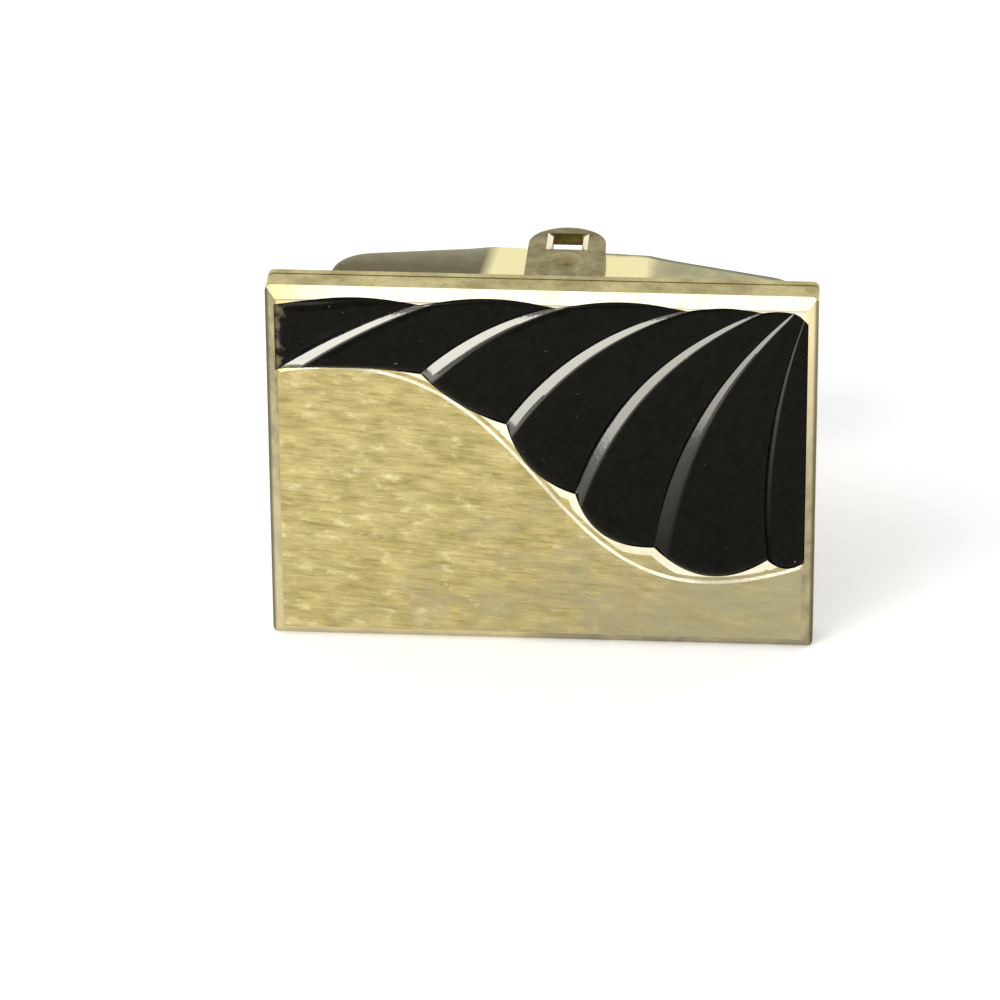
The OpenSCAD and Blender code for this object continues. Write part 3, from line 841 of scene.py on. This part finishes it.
def fork_post():
    """The strap fork, seen from the side as a U, with round ends, a window and a pin hole in each leg."""
    y0, y1 = fork_low.y, fork_high.y
    outer, inner, bend = FORK_T / 2, FORK_T / 2 - STRAP_T, BEND_R - STRAP_T
    upper, lower = (y0 + BEND_R, outer - BEND_R), (y0 + BEND_R, BEND_R - outer)
    side = [(y1, outer)] + arc(upper, BEND_R, 90, 180) + arc(lower, BEND_R, 180, 270) + [(y1, -outer)]
    side += [(y1, -inner)] + arc(lower, bend, 270, 180) + arc(upper, bend, 180, 90) + [(y1, inner)]
    strap = prism(side, (-STRAP_W / 2, STRAP_W / 2), lambda u, v, w: (w, u, v))
    half = STRAP_W / 2
    plan = [(-half, y0 - 1), (half, y0 - 1)] + arc((0, y1 - half), half, 0, 180, steps=48)
    strap = cut(strap, prism(plan, (-FORK_T, FORK_T)), "INTERSECT")
    far = y1 - WINDOW_RIM
    near = far - WINDOW_LEN
    window = [(-WINDOW_W / 2, near), (WINDOW_W / 2, near), (WINDOW_W / 2, far), (-WINDOW_W / 2, far)]

    def flared(u, v, w):
        """Narrows the window just below the faces of the fork, so that its sides are broken there."""
        lean = WINDOW_LEAN if abs(w) < outer else 0
        return u - math.copysign(lean, u), v, w

    below = outer - WINDOW_LEAN / 2
    strap = cut(strap, prism(window, [-FORK_T, -outer, -below, below, outer, FORK_T], flared), "DIFFERENCE")
    hole = arc((0, POST_REACH), PIN_D / 2, 0, 360, steps=48)[:-1]
    fork = shown("fork", cut(strap, prism(hole, (-FORK_T, FORK_T)), "DIFFERENCE"))
    broken = fork.modifiers.new("broken_edges", "BEVEL")
    broken.width = STRAP_EDGE
    broken.segments = 3
    broken.limit_method = "ANGLE"
    broken.angle_limit = math.radians(40)
    bm = bmesh_of(settled(fork))

    # The slanting side faces of the windows are bright
    for face in bm.faces:
        centre = face.calc_center_median()
        if abs(centre.x) < WINDOW_W / 2 and near < centre.y < far and 0.3 < abs(face.normal.x) < 0.95:
            face.material_index = 1
    keep("strap_fork", bm, "cufflink_body", ["fork_post"],
         [FITTING_FINISH, BRIGHT_FINISH], smooth_below=35)


def pivot_pin():
    """The rivet, its two heads low domes."""
    bm = bmesh.new()
    head, shoulder = HEAD_D / 2, FORK_T / 2
    rise = pin_high.z - shoulder
    steps = 12
    shares = [k / steps for k in range(steps - 1, 0, -1)]
    upper = [(PIN_D / 2, shoulder), (head, shoulder)]
    upper += [(head * share, shoulder + rise * (1 - share ** 2)) for share in shares]
    profile = [(r, -z) for r, z in reversed(upper)] + upper
    loft(bm, round_rings(profile, lambda x, y, z: (x, POST_REACH + y, z), steps=48))
    keep("riveted_pin", bm, "cufflink_body", ["pivot_pin"], [FITTING_FINISH],
         smooth_below=40)


# Toggle bar: two pressed half shells

def bar_side(inset):
    """Stations from the bar's left tip to its right one, seen from above: place along it and half width."""
    half, r = BAR_W / 2 - inset, TIP_R - inset
    lean = math.atan2(half, TIP_X - FLAT_HALF) - math.asin(r / math.hypot(TIP_X - FLAT_HALF, half))
    touch = (TIP_X + r * math.sin(lean), r * math.cos(lean))
    right = [(FLAT_HALF * k / FLAT_STEPS, half) for k in range(FLAT_STEPS)]
    right += [(FLAT_HALF + (touch[0] - FLAT_HALF) * k / ARM_STEPS, half + (touch[1] - half) * k / ARM_STEPS)
              for k in range(ARM_STEPS)]
    right += arc((TIP_X, 0), r, 90 - math.degrees(lean), 0, TIP_STEPS)
    return [(-x, w) for x, w in right[:0:-1]] + right


def bar_top(x, share, inset):
    """Height of the bar's upper face at x, at a share of the half width there: flat in the middle, falling
    and slightly crowned along the arms."""
    past = max(0, abs(x) - FLAT_HALF)
    fall = past * (HUB_T - TIP_T) / 2 / (BAR_LEN / 2 - FLAT_HALF)
    return HUB_T / 2 - inset - fall - CROWN * min(1, past) * share ** 2


def shell_sheet(bm, inset, soft, seam):
    """One face of a half shell: rows of vertices up one side, across the top and down the other side."""
    edge = [(inset + seam, 0, None), (inset, seam, None)]
    edge += [(inset + soft * (1 - math.cos(math.radians(a))), soft * (1 - math.sin(math.radians(a))), 1)
             for a in range(0, 91, 15)]
    sides = [bar_side(step[0]) for step in edge]
    crossing = 12
    rows = []
    for i in range(len(sides[0])):
        up = []
        for (_, z, share), side in zip(edge, sides):
            x, w = side[i]
            up.append((x, w, z if share is None else bar_top(x, share, inset) - z))
        x, w = sides[-1][i]
        over = []
        for j in range(1, crossing):
            share = 1 - 2 * j / crossing
            over.append((x, w * share, bar_top(x, share, inset)))
        row = up + over + [(x, -y, z) for x, y, z in reversed(up)]
        rows.append([bm.verts.new(p) for p in row])
    for low, high in zip(rows, rows[1:]):
        for j in range(len(low) - 1):
            bm.faces.new((low[j], low[j + 1], high[j + 1], high[j]))
    return rows


def half_shell(name, node, up):
    """A pressed half of the bar, closed all round, with a shallow groove where the halves meet."""
    bm = bmesh.new()
    outer = shell_sheet(bm, 0, SOFT_R, EDGE)
    inner = shell_sheet(bm, SHELL_WALL, INNER_R, INNER_GROOVE)
    for j in (0, -1):
        for i in range(len(outer) - 1):
            bm.faces.new((outer[i][j], outer[i + 1][j], inner[i + 1][j], inner[i][j]))
    bmesh.ops.remove_doubles(bm, verts=bm.verts, dist=WELD)
    bmesh.ops.recalc_face_normals(bm, faces=bm.faces)
    bush_hole = prism(arc((0, 0), BUSH_D / 2, 0, 360, steps=64)[:-1], (-HUB_T, HUB_T))
    bm = bmesh_of(cut(mesh_of("shell", bm), bush_hole, "DIFFERENCE"))
    if not up:
        bmesh.ops.transform(bm, matrix=Matrix.Scale(-1, 4, (0, 0, 1)), verts=bm.verts)
        bmesh.ops.reverse_faces(bm, faces=bm.faces)
    place = Matrix.Translation((0, POST_REACH, 0)) @ Matrix.Rotation(-BAR_TURN, 4, "Z")
    bmesh.ops.transform(bm, matrix=place, verts=bm.verts)
    keep(name, bm, "toggle", [node], [BAR_FINISH], smooth_below=40)


face_plate()
fluted_inlay()
backing_plate()
post_foot()
fork_post()
pivot_pin()
half_shell("upper_half_shell", "toggle_upper_shell", True)
half_shell("lower_half_shell", "toggle_lower_shell", False)

# Pieces of the model whose shape is right as it is; the seam was gilded over with the plates
for node, finish in [("inlay_cement", CEMENT_FINISH), ("seam_solder", SIDE_FINISH),
                     ("foot_solder", SOLDER_FINISH), ("hub_bush", BAR_FINISH)]:
    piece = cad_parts[node]
    piece.data.materials.clear()
    piece.data.materials.append(finish)


# Floor, light and camera

def pale_floor():
    """A matt white sheet under the object, which the camera and mirrors see as white but for the shadow."""
    material, tree, place = new_material("pale_paper_floor")
    fibres = add(tree, "ShaderNodeTexNoise", {"Vector": place, "Scale": 0.6, "Detail": 3.0})
    tone = add(tree, "ShaderNodeMix", {"Factor": fibres, "A": "#f3f3f3", "B": "#f7f7f7"}, data_type="RGBA")
    path = add(tree, "ShaderNodeLightPath").outputs
    seen = path["Is Camera Ray"]
    for ray in ("Is Glossy Ray", "Is Transmission Ray"):
        seen = add(tree, "ShaderNodeMath", {0: seen, 1: path[ray]}, operation="ADD")
    lift = add(tree, "ShaderNodeMath", {0: seen, 1: 0.14}, operation="MULTIPLY")
    shader = add(tree, "ShaderNodeBsdfPrincipled", {"Base Color": tone, "Roughness": 0.9,
                                                    "Emission Color": (1, 1, 1, 1),
                                                    "Emission Strength": lift})
    add(tree, "ShaderNodeOutputMaterial", {"Surface": shader})
    reach, level = 0.9, plate_low.z * MM
    bm = bmesh.new()
    bm.faces.new([bm.verts.new((x, y, level))
                  for x, y in [(-reach, -reach), (reach, -reach), (reach, reach), (-reach, reach)]])
    mesh = mesh_of("floor", bm)
    mesh.materials.append(material)
    floor = shown("floor", mesh)


def studio_world():
    """Even pale surroundings, a little brighter behind the object."""
    world = bpy.data.worlds.new("studio")
    bpy.context.scene.world = world
    world.use_nodes = True
    tree = world.node_tree
    tree.nodes.clear()
    way = add(tree, "ShaderNodeTexCoord").outputs["Generated"]
    back = add(tree, "ShaderNodeSeparateXYZ", {"Vector": way}).outputs["Y"]
    light = add(tree, "ShaderNodeMapRange", {"Value": back, "From Min": -0.3, "From Max": 0.8,
                                             "To Min": 0.62, "To Max": 1.0})
    background = add(tree, "ShaderNodeBackground", {"Color": "#fdfdfc", "Strength": light})
    add(tree, "ShaderNodeOutputWorld", {"Surface": background})


def softbox(name, start, end, distance, width, radiance):
    """A rectangular lamp that, seen from the face, reaches from one direction to another; metres."""
    start, end = Vector(start).normalized(), Vector(end).normalized()
    back = (start + end).normalized()
    along = (end - start).normalized()
    data = bpy.data.lights.new(name, "AREA")
    data.shape = "RECTANGLE"
    data.size, data.size_y = 2 * math.tan(start.angle(end) / 2) * distance, width
    data.energy = radiance * math.pi * data.size * data.size_y
    turn = Matrix((along, back.cross(along), back)).transposed().to_4x4()
    shown(name, data).matrix_world = Matrix.Translation(back * distance) @ turn


def photo_camera():
    """A long lens at the photo's angle, aimed a little left of and below the middle of the face."""
    azimuth, elevation, roll = math.radians(4.16), math.radians(27.04), math.radians(-0.41)
    aim = Vector((-1.5, FACE_FRONT, -1.2)) * MM
    distance = 0.22
    back = Vector((math.sin(azimuth) * math.cos(elevation), -math.cos(azimuth) * math.cos(elevation),
                   math.sin(elevation)))
    data = bpy.data.cameras.new("photo_camera")
    data.lens = 216.6
    data.clip_start = 0.01
    across = Vector((0, 0, 1)).cross(back).normalized()
    level = Matrix((across, back.cross(across), back)).transposed().to_4x4()
    camera = shown("photo_camera", data)
    camera.matrix_world = Matrix.Translation(aim + distance * back) @ level @ Matrix.Rotation(roll, 4, "Z")
    bpy.context.scene.camera = camera


pale_floor()
studio_world()

# Lamps: the two directions that each reaches between, its distance, its width and its radiance
softbox("overhead_softbox", (-0.5, -0.42, 0.8), (0.4, -0.42, 0.8), 0.5, 0.24, 0.92)
softbox("left_strip", (-0.22, -0.58, 0.785), (-0.918, -0.396, 0.0), 0.4, 0.19, 4.4)
softbox("front_strip", (0.05, -0.85, 0.55), (0.68, -0.72, 0.15), 0.4, 0.1, 0.85)
photo_camera()
bpy.context.scene.view_settings.view_transform = "Standard"
